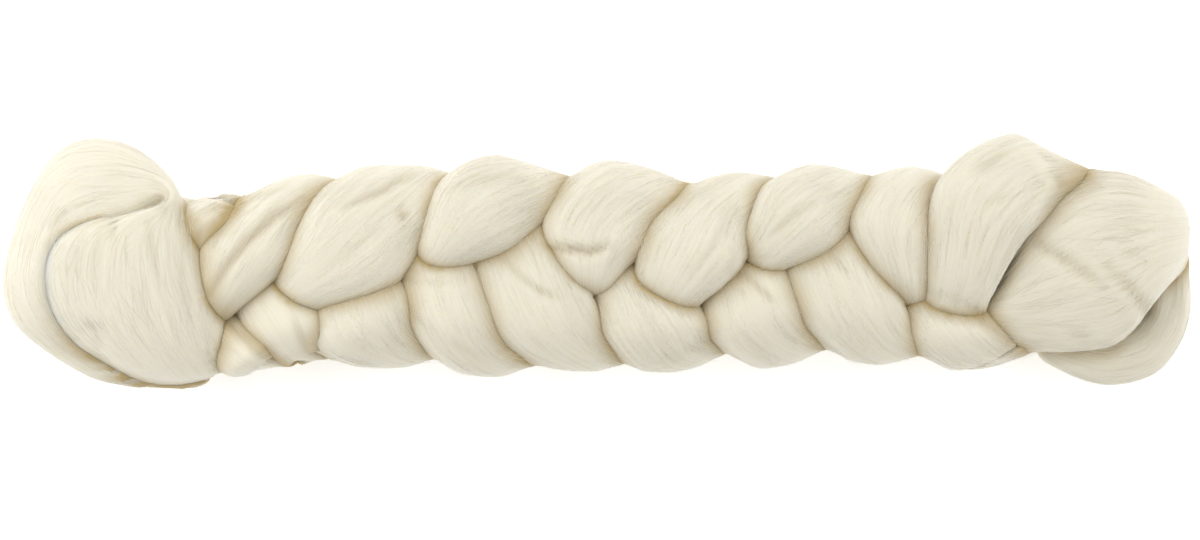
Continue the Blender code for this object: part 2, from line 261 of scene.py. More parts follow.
# The wool packed inside the plait and its two ends.
CORE = (
    #       x       y      z     width  thick  facing
    Station(-170.0, -1.0, 9.5, 12.0, 10.0, Facing.FRONT),
    Station(-155.0, -1.0, 12.0, 24.0, 13.0, Facing.FRONT),
    Station(-130.0, -2.0, 12.5, 22.0, 13.5, Facing.FRONT),
    Station(-100.0, 0.0, 19.5, 19.0, 10.0, Facing.FRONT),
    Station(-60.0, 0.0, 20.5, 20.0, 9.0, Facing.FRONT),
    Station(60.0, 0.0, 20.5, 20.0, 9.0, Facing.FRONT),
    Station(130.0, 0.0, 17.0, 20.0, 11.0, Facing.FRONT),
    Station(155.0, -5.0, 12.0, 22.0, 13.0, Facing.FRONT),
    Station(172.0, -6.0, 10.5, 14.0, 11.0, Facing.FRONT),
)

# Creases are made on points above this height, and fade as the surface turns away by this rate.
CREASE_LEVEL = 14.0
CREASE_TURN = 3.0
# Depth of a crease at its ends, as a share, and what swells it to the whole halfway.
CREASE_END = 0.35
CREASE_SWELL = 2.6
# How far the painted shade, in warm tan, reaches out of a crease, as a share of a section's size.
SHADE_REACH = 0.62
# How steeply it falls off over that reach.
SHADE_FALL = 2.3
# A run doesn't count as its own neighbour within this distance.
OWN_REACH = 34.0
# The section measure of a point that lies beside no section.
FAR = 9.0
# How close neighbours come before the valley between them rounds out, and by how much at most.
VALLEY = 5.0
VALLEY_RISE = VALLEY / 4
# Points with a smaller section measure are sunk in a neighbour and stay; then it fades in.
SUNK = 0.6
SUNK_FADE = 0.3
# Below this height above the table the painted shade of a seam fades, down to this share.
SEAM_SHADE_LEVEL = 13.0
SEAM_SHADE_LEAST = 0.25
# How many times neighbouring sections are averaged.
SOFTENING = 6

# The last number of each crease adds painted shade in warm tan, or takes painted shade away where it is
# below zero.
CREASES = (
    # the outer side of the left loop, where painted shade is taken away
    Crease(((-167.0, 38.5), (-178.5, 18.0), (-183.0, -2.5), (-178.5, -20.0)), 9.0, 0.0, -0.3),
    # the curl, where painted shade is taken away
    Crease(((145.0, -35.5), (164.0, -36.5), (178.5, -28.0), (183.5, -16.0)), 6.0, 0.0, -0.3),
    # the swelling that half fills the crease of the hump
    Crease(((-142.0, 17.5), (-152.5, 16.0), (-161.0, 12.5), (-167.0, 9.5)), 3.4, -0.9, -0.1),
    # the swelling that blends the panel's left border into the loop
    Crease(((-165.0, 10.5), (-171.0, 5.5), (-173.5, -2.5), (-172.0, -12.5), (-165.5, -24.0)),
           8.0, -2.2, -0.3),
    # the pinch
    Crease(((-137.0, 20.0), (-140.0, 19.0)), 2.2, 0.5, 0.3),
    # the streaks that fan out of the pinch over the panel
    Crease(((-151.5, 15.0), (-157.5, 7.0), (-159.5, -12.0)), 2.2, 0.3, 0.1),
    Crease(((-152.0, 12.5), (-154.0, 3.0)), 1.6, 0.3, 0.1),
    Crease(((-142.0, 12.5), (-137.5, -12.0)), 1.8, 0.3, 0.1),
    Crease(((-135.0, 9.5), (-129.5, -12.0)), 1.8, 0.3, 0.1),
    # the soft fold at the panel's lower left
    Crease(((-164.5, -17.5), (-159.5, -21.5), (-158.0, -28.5)), 3.2, 0.9, 0.1),
    # the grooves of upper_0
    Crease(((-129.5, 13.0), (-121.5, 17.5), (-115.0, 19.5)), 1.8, 0.3, 0.2),
    Crease(((-128.0, 7.0), (-120.5, 13.5), (-113.0, 16.5)), 1.8, 0.3, 0.2),
    # the main groove of upper_1
    Crease(((-122.0, -9.5), (-117.5, -2.0), (-110.5, 7.0), (-102.0, 15.0), (-94.5, 19.5)), 1.8, 1.5, 0.5),
    # its upper groove
    Crease(((-118.0, 15.0), (-111.5, 19.5), (-98.0, 24.5)), 1.4, 0.4, 0.2),
    # the light bundle between them
    Crease(((-119.0, 2.0), (-111.5, 12.5), (-100.5, 19.5)), 2.4, -0.5, 0.0),
    # the bundles of lower_0
    Crease(((-119.0, -22.5), (-112.5, -29.0)), 1.8, -0.6, 0.0),
    Crease(((-118.0, -19.0), (-112.5, -24.0), (-106.0, -30.5)), 1.4, 0.7, 0.3),
    # the ridge at the right of lower_1
    Crease(((-92.5, -17.0), (-90.0, -24.0), (-89.0, -31.5)), 3.0, -1.8, 0.0),
    # the groove beside it
    Crease(((-96.0, -17.0), (-92.5, -28.5)), 1.6, 0.6, 0.2),
    # the groove at the top right of upper_2
    Crease(((-57.5, 28.0), (-64.5, 25.5), (-68.0, 23.0), (-75.5, 19.5), (-81.5, 17.0)), 1.6, 1.1, 0.3),
    # the dent in upper_2
    Crease(((-62.0, 16.0), (-62.0, 13.0)), 1.9, 1.0, 0.4),
    # its faint lower groove
    Crease(((-87.5, -4.0), (-76.5, 4.0), (-69.5, 10.5)), 1.8, 0.3, 0.1),
    # the faint groove of upper_3
    Crease(((-47.5, 22.5), (-38.0, 25.5), (-28.5, 27.0), (-22.0, 25.5)), 1.8, 0.3, 0.1),
    # the crease at the top of lower_3
    Crease(((-62.0, -6.0), (-53.0, -6.5), (-43.0, -6.0)), 1.6, 0.4, 0.1),
    # the streaks of lower_3
    Crease(((-59.5, -14.5), (-55.0, -20.0), (-51.5, -25.0)), 1.6, 0.4, 0.1),
    Crease(((-47.5, -24.5), (-41.5, -28.5), (-35.5, -32.0)), 1.8, 0.3, 0.1),
    # the upper streak of lower_4
    Crease(((-30.0, 0.0), (-25.0, -4.5), (-19.0, -9.0), (-13.5, -11.5)), 1.6, 0.6, 0.2),
    # the light bundle at its left
    Crease(((-38.0, -2.0), (-34.0, -12.0), (-29.5, -22.5)), 2.6, -0.5, 0.0),
    # the crease across upper_4
    Crease(((-15.0, 4.5), (-9.5, 4.0), (-3.0, 3.0), (2.5, 5.0)), 1.6, 1.9, 0.4),
    # the lobe that swells out below it
    Crease(((-10.5, -4.0), (-3.0, -7.0), (4.5, -5.0)), 4.5, -1.0, 0.0),
    # the ridge along the right of upper_5
    Crease(((46.0, 24.5), (45.5, 15.0), (40.5, 0.0), (36.0, -8.0)), 2.8, -0.8, 0.0),
    # the groove beside it
    Crease(((42.5, 16.0), (36.5, 5.5), (28.5, -4.5)), 1.8, 0.6, 0.1),
    # the groove of lower_6
    Crease(((41.5, -4.0), (46.0, -4.5), (50.5, -8.5), (55.0, -12.5)), 1.6, 0.6, 0.2),
    # the groove of upper_6
    Crease(((51.5, 6.5), (55.5, 10.0), (61.0, 14.5), (67.0, 18.5)), 1.6, 0.6, 0.2),
    # the faint groove of lower_7
    Crease(((72.0, 2.5), (79.0, -4.5)), 1.6, 0.4, 0.1),
    # the groove at the top of upper_8
    Crease(((118.0, 28.0), (121.5, 30.5), (129.5, 35.5)), 2.2, 0.8, 0.2),
    # the valley right of it
    Crease(((138.0, 35.5), (142.0, 33.5), (146.5, 31.0)), 2.4, 0.7, 0.1),
    # the light folded border of upper_8
    Crease(((137.0, 33.0), (142.0, 24.0), (136.0, 14.5), (130.0, 6.5), (126.5, -2.5)), 2.2, -0.7, 0.0),
    # its dent
    Crease(((143.0, 26.0), (147.0, 23.5)), 2.4, 0.5, 0.1),
    # its faint groove
    Crease(((120.0, 18.0), (128.0, 21.0)), 2.0, 0.3, 0.1),
    # the main crease of the broad end
    Crease(((135.5, 7.0), (144.5, 2.0), (152.0, -3.0), (159.0, -7.5)), 2.0, 1.0, 0.3),
    # the crease right of it
    Crease(((158.5, -0.5), (166.0, -7.5), (173.5, -15.0)), 2.0, 0.7, 0.2),
    # the dimple at their end
    Crease(((172.0, -14.5), (176.0, -16.5)), 2.2, 1.3, 0.5),
    # its short upper crease
    Crease(((164.0, 4.0), (173.5, -0.5)), 1.6, 0.4, 0.1),
    # the creases at its lower border
    Crease(((148.0, -22.5), (156.0, -25.0)), 2.2, 0.6, 0.1),
    Crease(((157.5, -26.5), (167.5, -28.0)), 2.2, 0.4, 0.1),
    # the corner of lower_8: a shallow trough, dark with painted shade
    Crease(((118.5, -15.5), (125.0, -23.0)), 2.0, 0.5, 0.4),
    # the groove at its top
    Crease(((103.0, -9.0), (113.5, -12.5), (121.5, -16.0)), 1.6, 0.3, 0.1),
)

RUN_A = ("lower_1", "upper_2", "lower_4", "upper_5", "lower_7", "upper_8")
RUN_B = ("upper_0", "lower_2", "upper_3", "lower_5", "upper_6", "lower_8")
RUN_C = ("lower_0", "upper_1", "lower_3", "upper_4", "lower_6", "upper_7")


def unit(vectors: Array) -> Array:
    """Vectors along the last axis, brought to length one."""
    return vectors / np.maximum(np.linalg.norm(vectors, axis=-1, keepdims=True), 1e-12)


def upright(direction: Array, along: Array) -> Array:
    """The part of a direction that is square to another, brought to length one."""
    return unit(direction - np.sum(direction * along, axis=-1, keepdims=True) * along)


def between(grid: Array, i: Array, j: Array, u: Array, v: Array) -> Array:
    """Values at u, v past the points i, j of a grid whose second direction is a ring."""
    j, k = j % grid.shape[1], (j + 1) % grid.shape[1]
    low = grid[i, j] * (1 - v) + grid[i, k] * v
    high = grid[i + 1, j] * (1 - v) + grid[i + 1, k] * v
    return low * (1 - u) + high * u


@dataclass
class Route:
    """Where the sliver goes.

    Each row is x, y, z, half width, half thickness, the way up, and the way across, which is
    not a number where it follows from the way ahead.

    Attributes:
        root_level: height at which a fold rises out of the plait.
        root_reach: how far before its first cut a fold starts, as a share of the first span.
        root_narrowing: width of that start, as a share of the first cut's.
        edge: height, half width and half thickness where a fold turns over the edge.
        edge_lead: how far left of its notch it turns there.
        edge_slant: how far its way up leans along the braid there.
        behind: height, half width and half thickness of the folds behind.
        behind_reach: how far out they lie, as a share of the edge.
    """

    root_level: float = 17.0
    root_reach: float = 0.5
    root_narrowing: float = 0.8
    edge: Triple = (16.0, 12.0, 9.0)
    edge_lead: float = 1.0
    edge_slant: float = 0.25
    behind: Triple = (8.0, 15.0, 9.0)
    behind_reach: float = 0.45

    def across(self, first: Array, second: Array, half_thick: float, sign: float) -> Array:
        """Row of a section that is given by its two borders.

        Args:
            first: one border.
            second: the other border.
            half_thick: half the section's thickness.
            sign: -1 where its way up looks into the braid.

        Returns:
            The row.
        """
        way = unit(second - first)
        up = sign * upright(np.array([0.0, 0.0, 1.0]), way)
        width = np.linalg.norm(second - first) / 2
        return np.concatenate([(first + second) / 2, [width, half_thick], up, way])

    def loop(self, cuts: tuple[Cut, ...], sign: float = 1.0) -> list[Array]:
        """Rows of an end loop in sight."""
        return [
            self.across(np.array([c.x1, c.y1, c.z1]), np.array([c.x2, c.y2, c.z2]), c.half_thick, sign)
            for c in cuts
        ]

    def hidden(self, stations: tuple[Station, ...], sign: float = 1.0) -> list[Array]:
        """Rows of a stretch out of sight."""
        return [self.plain(s[:5], sign * np.array(s.facing.value)) for s in stations]

    def plain(self, sizes: tuple, up: Array) -> Array:
        """Row of a section that is given by its middle, its sizes and its way up."""
        return np.concatenate([sizes, up, np.full(3, np.nan)])

    def front(self, fold: Fold) -> list[Array]:
        """Rows of one fold on the front, from its root to where it turns over the edge."""
        rows = []
        for name, level in LEVELS[fold.side].items():
            x1, y1, x2, y2 = getattr(fold, name)
            lift = fold.lift * LIFT_SHARE[name]
            first = np.array([x1, y1, level.outer + lift])
            second = np.array([x2, y2, level.inner + lift])
            rows.append(self.across(first, second, level.half_thick, fold.side))
        root = rows[0].copy()
        root[:3] += (rows[0][:3] - rows[1][:3]) * self.root_reach
        root[2] = self.root_level
        root[3] *= self.root_narrowing
        level, width, thick = self.edge
        x, y = fold.notch[0] - self.edge_lead, fold.notch[1] - fold.side * thick
        middle = (x, y, level, width, thick)
        outward = np.array([self.edge_slant * fold.side, 1.0, 0.0])
        return [root, *rows, self.plain(middle, outward)]

    def plait(self, names: tuple[str, ...]) -> list[Array]:
        """Rows of one run through the plait.

        Args:
            names: the run's front folds, from left to right.

        Returns:
            Rows that rise, roll over the edge, pass behind and rise again.
        """
        rows = []
        level, width, thick = self.behind
        for index, name in enumerate(names):
            fold = FOLDS[name]
            if rows:
                root = self.front(fold)[0]
                before = FOLDS[names[index - 1]]
                x = (rows[-1][0] + root[0]) / 2
                y = rows[-1][1] * self.behind_reach
                up = np.array([0.0, 0.0, -float(before.side)])
                rows.append(self.plain((x, y, level, width, thick), up))
            rows += self.front(fold)
        return rows


@dataclass
class Grain:
    """Smooth repeatable unevenness over a run, much longer along the fibres than across.

    Attributes:
        seed: the first number of its random draws.
        cell_along: spacing of its values along the run.
        cells_round: how many values go round a section.
    """

    seed: int
    cell_along: float
    cells_round: int

    def __call__(self, along: Array, turn: Array) -> Array:
        """Read the unevenness.

        Args:
            along: distance along the run.
            turn: place round the section, from 0 to 1.

        Returns:
            Values between -1 and 1, with a mean near zero.
        """
        rng = np.random.default_rng(self.seed)
        rows = int(along.max() / self.cell_along) + 3
        values = rng.uniform(-1.0, 1.0, (rows, self.cells_round))
        i, j = along / self.cell_along, (turn % 1.0) * self.cells_round
        i0, j0 = np.floor(i).astype(int), np.floor(j).astype(int)
        u, v = i - i0, j - j0
        u, v = u * u * (3 - 2 * u), v * v * (3 - 2 * v)
        return between(values, i0, j0, u, v)


@dataclass
class Sweep:
    """Sections of the sliver at an even step along a smooth curve through rows.

    Attributes:
        rows: the route's rows.
        step: distance between the sections that are made.
        sides: points round a section.
        power: 2 is an ellipse, more is fuller at the corners.
        tension: how the curve's pace follows the distance between rows.
        slab: how far ahead of or behind a section it still measures a point.
    """

    rows: list[Array]
    step: float
    sides: int
    power: float = 2.2
    tension: float = 0.6
    slab: float = 2.0

    def __post_init__(self) -> None:
        """Work out the sections once."""
        sections = self.smooth(self.filled())
        sections[:, :2] -= CENTRE
        self.place = sections[:, :3]
        gaps = np.linalg.norm(np.diff(self.place, axis=0), axis=1)
        self.along = np.concatenate([[0.0], np.cumsum(gaps)])
        self.up = unit(sections[:, 5:8])
        self.across = upright(sections[:, 8:11], self.up)
        self.ahead = np.cross(self.up, self.across)
        self.wide, self.thick = sections[:, 3], sections[:, 4]

    def filled(self) -> Array:
        """The rows, with the ways across that follow from the way ahead."""
        rows = np.array(self.rows, float)
        ahead = unit(np.gradient(rows[:, :3], axis=0))
        across = unit(np.cross(ahead, rows[:, 5:8]))
        bare = np.isnan(rows[:, 8])
        rows[bare, 8:11] = across[bare]
        return rows

    def smooth(self, rows: Array) -> Array:
        """Sections on a cubic curve through the rows."""
        spans = np.linalg.norm(np.diff(rows[:, :3], axis=0), axis=1)
        gaps = (np.maximum(spans, 1.0) ** self.tension)[:, None]
        rates = np.diff(rows, axis=0) / gaps
        inner = (rates[1:] * gaps[:-1] + rates[:-1] * gaps[1:]) / (gaps[:-1] + gaps[1:])
        slopes = np.vstack([rates[:1], inner, rates[-1:]])
        pieces = []
        for i, span in enumerate(spans):
            last = i == len(spans) - 1
            count = max(2, round(span / self.step))
            u = np.linspace(0.0, 1.0, count + last, endpoint=last)[:, None]
            start = (2 * u**3 - 3 * u**2 + 1) * rows[i] + (u**3 - 2 * u**2 + u) * gaps[i] * slopes[i]
            end = (3 * u**2 - 2 * u**3) * rows[i + 1] + (u**3 - u**2) * gaps[i] * slopes[i + 1]
            pieces.append(start + end)
        return np.vstack(pieces)

    def rings(self) -> Array:
        """Points of each section's ring, as sections by sides by xyz."""
        turn = np.linspace(0.0, 2 * np.pi, self.sides, endpoint=False)
        u = np.sign(np.cos(turn)) * np.abs(np.cos(turn)) ** (2 / self.power)
        v = np.sign(np.sin(turn)) * np.abs(np.sin(turn)) ** (2 / self.power)
        out = self.across[:, None] * (self.wide[:, None] * u)[..., None]
        rise = self.up[:, None] * (self.thick[:, None] * v)[..., None]
        rings = self.place[:, None] + out + rise
        for _ in range(SOFTENING):
            rings[1:-1] = (rings[:-2] + 2 * rings[1:-1] + rings[2:]) / 4
        return rings

    def cover(self, points: Array, own: Array | None = None) -> Array:
        """How far points lie from this stretch of sliver.

        Args:
            points: x, y, z of each point.
            own: distance along this run of each point, where the points are its own.

        Returns:
            The section measure: under one is inside, one is on the surface.
        """
        least = np.full(len(points), FAR)
        chunk = 4000
        for first in range(0, len(points), chunk):
            part = points[first:first + chunk]
            away = part[:, None] - self.place[None]
            ahead = np.einsum("psk,sk->ps", away, self.ahead)
            u = np.einsum("psk,sk->ps", away, self.across) / self.wide
            v = np.einsum("psk,sk->ps", away, self.up) / self.thick
            measure = (np.abs(u) ** self.power + np.abs(v) ** self.power) ** (1 / self.power)
            measure[np.abs(ahead) > self.slab] = FAR
            if own is not None:
                near = np.abs(self.along[None] - own[first:first + chunk, None]) < OWN_REACH
                measure[near] = FAR
            least[first:first + chunk] = measure.min(axis=1)
        return least


def ring_normals(rings: Array) -> Array:
    """Outward unit normals of a grid of section rings."""
    ahead = np.gradient(rings, axis=0)
    around = np.roll(rings, -1, axis=1) - np.roll(rings, 1, axis=1)
    normals = unit(np.cross(around, ahead))
    outward = rings - rings.mean(axis=1, keepdims=True)
    facing = np.sum(normals * outward, axis=2).mean(axis=1, keepdims=True)
    return normals * np.sign(facing)[..., None]


def tube_faces(count: int, sides: int) -> list[tuple]:
    """Faces of one closed tube, whose points come ring by ring, then its two end points."""
    j = np.arange(sides)
    k = (j + 1) % sides
    first = np.arange(count - 1)[:, None] * sides
    quads = np.stack([first + j, first + k, first + sides + k, first + sides + j], axis=-1)
    faces = [tuple(q) for q in quads.reshape(-1, 4).tolist()]
    tip, tail, last = count * sides, count * sides + 1, (count - 1) * sides
    faces += [(tip, b, a) for a, b in zip(j.tolist(), k.tolist())]
    faces += [(tail, last + a, last + b) for a, b in zip(j.tolist(), k.tolist())]
    return faces


def make_object(name: str, points: Array, faces: list[tuple]) -> bpy.types.Object:
    """Put a mesh into the scene.

    Args:
        name: the object's name.
        points: its points.
        faces: its faces.

    Returns:
        The new object, shaded smooth.
    """
    mesh = bpy.data.meshes.new(name)
    mesh.from_pydata((points * MM).tolist(), [], faces)
    mesh.shade_smooth()
    item = bpy.data.objects.new(name, mesh)
    bpy.context.scene.collection.objects.link(item)
    return item


def add_attribute(item: bpy.types.Object, name: str, values: Array) -> None:
    """Store a number or a vector on each point of a mesh, for its material to read."""
    kind, key = ("FLOAT_VECTOR", "vector") if values.ndim == 2 else ("FLOAT", "value")
    layer = item.data.attributes.new(name, kind, "POINT")
    layer.data.foreach_set(key, np.ascontiguousarray(values, np.float32).ravel())


class Wire:
    """A shader socket that arithmetic turns into Math nodes."""

    def __init__(self, tree: "Shader", socket: bpy.types.NodeSocket) -> None:
        """Wrap a socket of a shader tree."""
        self.tree = tree
        self.socket = socket

    def _math(self, operation: str, *values: object) -> "Wire":
        """One Math node on the values."""
        return self.tree.node("ShaderNodeMath", {"operation": operation}, dict(enumerate(values)))

    def __add__(self, other: object) -> "Wire":
        """Sum."""
        return self._math("ADD", self, other)

    def __radd__(self, other: object) -> "Wire":
        """Sum, with the number first."""
        return self._math("ADD", other, self)

    def __sub__(self, other: object) -> "Wire":
        """Difference."""
        return self._math("SUBTRACT", self, other)

    def __rsub__(self, other: object) -> "Wire":
        """Difference, with the number first."""
        return self._math("SUBTRACT", other, self)

    def __mul__(self, other: object) -> "Wire":
        """Product."""
        return self._math("MULTIPLY", self, other)

    def __rmul__(self, other: object) -> "Wire":
        """Product, with the number first."""
        return self._math("MULTIPLY", other, self)


class Shader:
    """A material's node tree, written as expressions."""

    def __init__(self, name: str) -> None:
        """Start a material with a Principled shader."""
        self.material = bpy.data.materials.new(name)
        self.material.use_nodes = True
        self.nodes = self.material.node_tree.nodes
        self.links = self.material.node_tree.links
        self.surface = self.nodes["Principled BSDF"]

    def node(self, kind: str, settings: dict, values: dict, out: int | str = 0) -> Wire:
        """Add a node.

        Args:
            kind: the node's type.
            settings: its properties, set before its sockets.
            values: a number, a tuple or a Wire for each input, by name or index.
            out: the output that is returned, by name or index.

        Returns:
            That output.
        """
        made = self.nodes.new(kind)
        for key, value in settings.items():
            setattr(made, key, value)
        for key, value in values.items():
            self.feed(made.inputs[key], value)
        return Wire(self, made.outputs[out])

    def feed(self, socket: bpy.types.NodeSocket, value: object) -> None:
        """Link a Wire to a socket, or set the socket to a value."""
        if isinstance(value, Wire):
            self.links.new(value.socket, socket)
        else:
            socket.default_value = value

    def blend(self, share: object, low: object, high: object) -> Wire:
        """Colour that goes from low to high as share goes from 0 to 1."""
        colour = {"data_type": "RGBA", "clamp_factor": True}
        return self.node("ShaderNodeMix", colour, {0: share, 6: low, 7: high}, out=2)

    def stretched(self, place: Wire, size: Pair, detail: float) -> Wire:
        """Noise from 0 to 1 that is drawn out along the fibres.

        Args:
            place: the point on the sliver laid out straight, in metres.
            size: width and length of its grain.
            detail: how many finer layers it has.

        Returns:
            The noise.
        """
        scale = (1 / (size[0] * MM), 1 / (size[0] * MM), 1 / (size[1] * MM))
        spread = self.node("ShaderNodeVectorMath", {"operation": "MULTIPLY"}, {0: place, 1: scale})
        sizes = {"Vector": spread, "Scale": 1.0, "Detail": detail, "Roughness": 0.55}
        return self.node("ShaderNodeTexNoise", {"noise_dimensions": "3D"}, sizes)

    def finish(self, sockets: dict) -> bpy.types.Material:
        """Feed the Principled shader's sockets, and return the material."""
        for key, value in sockets.items():
            self.feed(self.surface.inputs[key], value)
        return self.material


@dataclass(frozen=True)
class WoolFinish:
    """Combed wool: cream, matt and soft, with a drawn-out grain, and with painted shade in warm tan in
    its creases.

    Attributes:
        cream: colour of the open surface.
        pale: colour of the lighter bundles.
        tan: colour of the painted shade deep in the creases.
        fine: width and length of the finest grain.
        broad: the same of the broad grain.
        shares: how much the fine and the broad grain lighten the colour.
        offset: what is taken off their sum.
    """

    cream: Four = (0.735, 0.692, 0.56, 1.0)
    pale: Four = (0.835, 0.795, 0.67, 1.0)
    # painted shade: the dark warm tan laid into the creases
    tan: Four = (0.43, 0.325, 0.155, 1.0)
    fine: Pair = (0.30, 30.0)
    broad: Pair = (1.8, 110.0)
    shares: Pair = (1.3, 0.7)
    offset: float = 0.5

    def material(self, name: str) -> bpy.types.Material:
        """Make the material, which reads the point attributes strand and crease; crease is the share of
        painted shade.
        """
        tree = Shader(name)
        strand = tree.node("ShaderNodeAttribute", {"attribute_name": "strand"}, {}, out="Vector")
        crease = tree.node("ShaderNodeAttribute", {"attribute_name": "crease"}, {}, out="Fac")
        fine = tree.stretched(strand, self.fine, 2.0)
        broad = tree.stretched(strand, self.broad, 2.0)
        grain = fine * self.shares[0] + broad * self.shares[1] - self.offset
        open_wool = tree.blend(grain, self.cream, self.pale)
        height = fine + broad * 0.8
        bump = tree.node("ShaderNodeBump", {}, {
            "Strength": 0.5, "Distance": 0.04 * MM, "Height": height}, out="Normal")
        return tree.finish({
            # painted shade: the crease attribute blends the colour towards tan
            "Base Color": tree.blend(crease * (1.2 - 0.4 * fine), open_wool, self.tan),
            "Roughness": 0.80 + 0.15 * fine,
            "Normal": bump,
            "Specular IOR Level": 0.2,
            "Subsurface Weight": 0.6,
            "Subsurface Radius": (1.0, 0.85, 0.6),
            "Subsurface Scale": 2.6 * MM,
            "Sheen Weight": 0.2,
            "Sheen Roughness": 0.5,
        })


@dataclass(frozen=True)
class FibreFinish:
    """Single loose fibres: paler than the sliver that they lie on, and smooth.

    Attributes:
        pale: their colour.
        tan: the other end of their tones, which are drawn at random from fibre to fibre.
    """

    pale: Four = (0.96, 0.92, 0.80, 1.0)
    tan: Four = (0.82, 0.765, 0.62, 1.0)

    def material(self, name: str) -> bpy.types.Material:
        """Make the material, which reads the point attribute crease."""
        tree = Shader(name)
        crease = tree.node("ShaderNodeAttribute", {"attribute_name": "crease"}, {}, out="Fac")
        return tree.finish({
            "Base Color": tree.blend(crease, self.pale, self.tan),
            "Roughness": 0.85,
            "Specular IOR Level": 0.2,
            "Sheen Weight": 0.2,
        })


@dataclass
class Run:
    """One run of sliver through the braid: a closed soft tube with its grain and creases.

    Attributes:
        name: the piece's name.
        rows: its route.
        seed: the first number of its random draws.
        step: distance between sections.
        sides: points round a section.
        section: nominal radius that the material's grain is laid out on.
        bundles: heights of the broad and the narrow bundles in it.
        broad: spacing of the broad bundles along the run, and how many go round it.
        narrow: the same of the narrow bundles.
    """

    name: str
    rows: list[Array]
    seed: int
    step: float = 1.5
    sides: int = 144
    section: float = 13.0
    bundles: Pair = (0.22, 0.025)
    broad: tuple[float, int] = (70.0, 13)
    narrow: tuple[float, int] = (45.0, 44)
    clear: Array = field(init=False)

    def __post_init__(self) -> None:
        """Sweep the run and lay its unevenness over it."""
        self.sweep = Sweep(self.rows, self.step, self.sides)
        rings = self.sweep.rings()
        turn = np.arange(self.sides) / self.sides
        self.along, self.turn = np.meshgrid(self.sweep.along, turn, indexing="ij")
        normals = ring_normals(rings)
        broad = Grain(self.seed, *self.broad)(self.along, self.turn)
        narrow = Grain(self.seed + 1, *self.narrow)(self.along, self.turn)
        trough, self.painted_shade = self.troughs(rings, normals)
        relief = self.bundles[0] * broad + self.bundles[1] * narrow - trough
        self.swell(rings, normals, relief)

    def swell(self, rings: Array, normals: Array, rise: Array) -> None:
        """Move the surface out along its normals, but never below the table."""
        self.rings = rings + normals * rise[..., None]
        self.rings[..., 2] = np.maximum(self.rings[..., 2], 0.0)
        self.normals = ring_normals(self.rings)

    def troughs(self, rings: Array, normals: Array) -> tuple[Array, Array]:
        """Depth and painted shade of the listed creases on the front of this run.

        Args:
            rings: the points of its sections.
            normals: their outward normals.

        Returns:
            The depth and the painted shade at each point.
        """
        depth = np.zeros(rings.shape[:2])
        painted_shade = np.zeros(rings.shape[:2])
        front = np.clip(normals[..., 2] * CREASE_TURN, 0.0, 1.0) * (rings[..., 2] > CREASE_LEVEL)
        for crease in CREASES:
            path = np.array(crease.path) - CENTRE
            ends = np.cumsum([0.0, *np.linalg.norm(np.diff(path, axis=0), axis=1)])
            fade = np.zeros(rings.shape[:2])
            for i, (start, end) in enumerate(zip(path[:-1], path[1:])):
                span = end - start
                share = np.clip((rings[..., :2] - start) @ span / (span @ span), 0.0, 1.0)
                gap = rings[..., :2] - start - share[..., None] * span
                off = np.sum(gap * gap, axis=2) / crease.half_width**2
                done = (ends[i] + share * (ends[i + 1] - ends[i])) / ends[-1]
                swell = CREASE_END + CREASE_SWELL * done * (1 - done)
                fade = np.maximum(fade, np.exp(-off) * swell)
            depth += fade * front * crease.depth
            # the painted shade of each crease, where it lies on the front
            painted_shade += fade * front * crease.painted_shade
        return depth, painted_shade

    def meet(self, others: list["Run"]) -> None:
        """Find how far each point lies from the other runs, and from this run's other folds.

        Args:
            others: all the other runs.
        """
        every = 3
        points = self.rings[:, ::every].reshape(-1, 3)
        least = self.sweep.cover(points, own=self.along[:, ::every].reshape(-1))
        for other in others:
            least = np.minimum(least, other.sweep.cover(points))
        coarse = least.reshape(len(self.rings), -1)
        place = np.arange(self.sides) / every
        j0 = np.floor(place).astype(int)
        share = place - j0
        j1 = (j0 + 1) % coarse.shape[1]
        self.clear = coarse[:, j0] * (1 - share) + coarse[:, j1] * share

    def settle(self) -> None:
        """Round out the valleys where this run meets its neighbours, as soft wool does."""
        gap = np.maximum(self.clear - 1.0, 0.0) * self.sweep.thick[:, None]
        near = np.clip(1.0 - gap / VALLEY, 0.0, 1.0)
        in_sight = np.clip((self.clear - SUNK) / SUNK_FADE, 0.0, 1.0)
        self.swell(self.rings, self.normals, VALLEY_RISE * near**2 * in_sight)

    def build(self, wool: bpy.types.Material) -> bpy.types.Object:
        """Make the piece in a material."""
        ends = np.stack([self.rings[0].mean(axis=0), self.rings[-1].mean(axis=0)])
        points = np.vstack([self.rings.reshape(-1, 3), ends])
        item = make_object(self.name, points, tube_faces(len(self.rings), self.sides))
        add_attribute(item, "strand", np.vstack([self.strand().reshape(-1, 3), np.zeros((2, 3))]))
        # crease: the painted shade, which the material turns into warm tan
        add_attribute(item, "crease", np.append(self.crease().reshape(-1), [0.0, 0.0]))
        item.data.materials.append(wool)
        return item

    def strand(self) -> Array:
        """Each point's place on the sliver laid out straight, in metres."""
        angle = 2 * np.pi * self.turn
        out, rise = self.section * np.cos(angle), self.section * np.sin(angle)
        return np.stack([out, rise, self.along], axis=-1) * MM

    def crease(self) -> Array:
        """Painted shade at each point, from 0 to 1: most where the sliver meets a neighbour, less near
        the table, with the listed creases' painted shade added.
        """
        gap = np.clip((self.clear - 1.0) / SHADE_REACH, 0.0, 1.0)
        low = np.clip(self.rings[..., 2] / SEAM_SHADE_LEVEL, SEAM_SHADE_LEAST, 1.0)
        return np.clip((1.0 - gap) ** SHADE_FALL * low + self.painted_shade, 0.0, 1.0)


